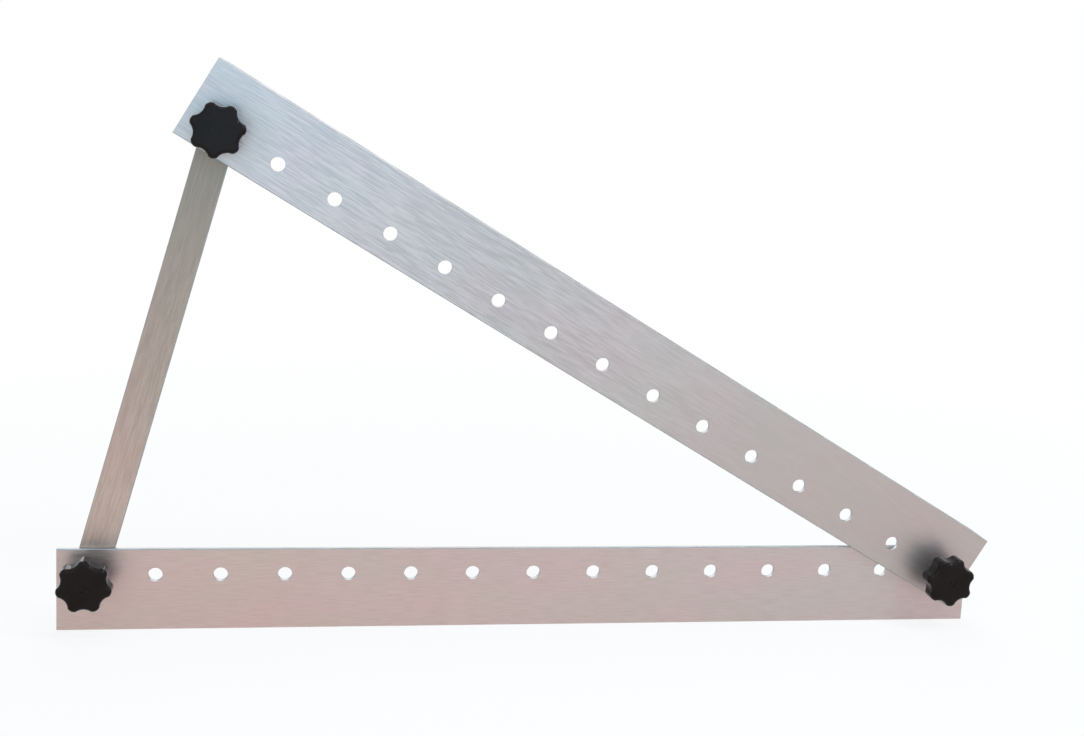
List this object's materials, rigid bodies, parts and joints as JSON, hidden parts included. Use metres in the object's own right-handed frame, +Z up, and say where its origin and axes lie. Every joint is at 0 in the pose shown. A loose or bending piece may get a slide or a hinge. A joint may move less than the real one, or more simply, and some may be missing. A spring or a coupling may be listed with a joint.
{
  "type": "solar panel tilt mount bracket",
  "caption": "Triangular aluminium tilt bracket for a solar panel: slotted base bar, upper bar and prop leg, bolted with star knobs and wing nuts.",
  "frame": {"origin": "outer heel of the base bar's flange, straight below the foot bolt, on the plane where the webs of the two long bars meet", "axes": "+X along the base bar from the foot bolt to the apex bolt, +Y towards the flanges and wing nuts, +Z up; the star knobs face -Y"},
  "size_m": [0.5835, 0.0518, 0.3405],
  "materials": {
    "bar_aluminium": "brushed along the bar",
    "leg_aluminium": "mill finish with a fine grain along the leg",
    "knob_plastic": "moulded gloss black",
    "zinc_steel": "bright zinc plate",
    "spring_steel": "zinc-plated spring steel"
  },
  "bodies": {
    "bracket": {"base_bar": "bar_aluminium", "panel_bar": "bar_aluminium", "prop_leg": "leg_aluminium", "crest_spacer": "zinc_steel", "apex_outer_washer": "zinc_steel", "apex_inner_washer": "zinc_steel", "apex_spring_washer": "spring_steel", "crest_outer_washer": "zinc_steel", "crest_inner_washer": "zinc_steel", "crest_spring_washer": "spring_steel", "foot_outer_washer": "zinc_steel", "foot_inner_washer": "zinc_steel", "foot_spring_washer": "spring_steel"},
    "apex_knob_body": {"apex_knob": "knob_plastic", "apex_stud": "zinc_steel"},
    "apex_nut_body": {"apex_wing_nut": "zinc_steel"},
    "crest_knob_body": {"crest_knob": "knob_plastic", "crest_stud": "zinc_steel"},
    "crest_nut_body": {"crest_wing_nut": "zinc_steel"},
    "foot_knob_body": {"foot_knob": "knob_plastic", "foot_stud": "zinc_steel"},
    "foot_nut_body": {"foot_wing_nut": "zinc_steel"}
  },
  "joints": [
    {"name": "apex_knob_turn", "type": "hinge", "parent": "bracket", "child": "apex_knob_body", "pos_m": [0.532, 0, 0.034], "axis": [0, -1, 0], "range_deg": [0, 540]},
    {"name": "crest_knob_turn", "type": "hinge", "parent": "bracket", "child": "crest_knob_body", "pos_m": [0.07159, 0, 0.30055], "axis": [0, -1, 0], "range_deg": [0, 540]},
    {"name": "foot_knob_turn", "type": "hinge", "parent": "bracket", "child": "foot_knob_body", "pos_m": [0, 0, 0.034], "axis": [0, -1, 0], "range_deg": [0, 540]},
    {"name": "apex_nut_turn", "type": "hinge", "parent": "bracket", "child": "apex_nut_body", "pos_m": [0.532, 0.01, 0.034], "axis": [0, 1, 0], "range_deg": [0, 540]},
    {"name": "crest_nut_turn", "type": "hinge", "parent": "bracket", "child": "crest_nut_body", "pos_m": [0.07159, 0.01, 0.30055], "axis": [0, 1, 0], "range_deg": [-2, 32]},
    {"name": "foot_nut_turn", "type": "hinge", "parent": "bracket", "child": "foot_nut_body", "pos_m": [0, 0.01, 0.034], "axis": [0, 1, 0], "range_deg": [-22, 12]}
  ]
}
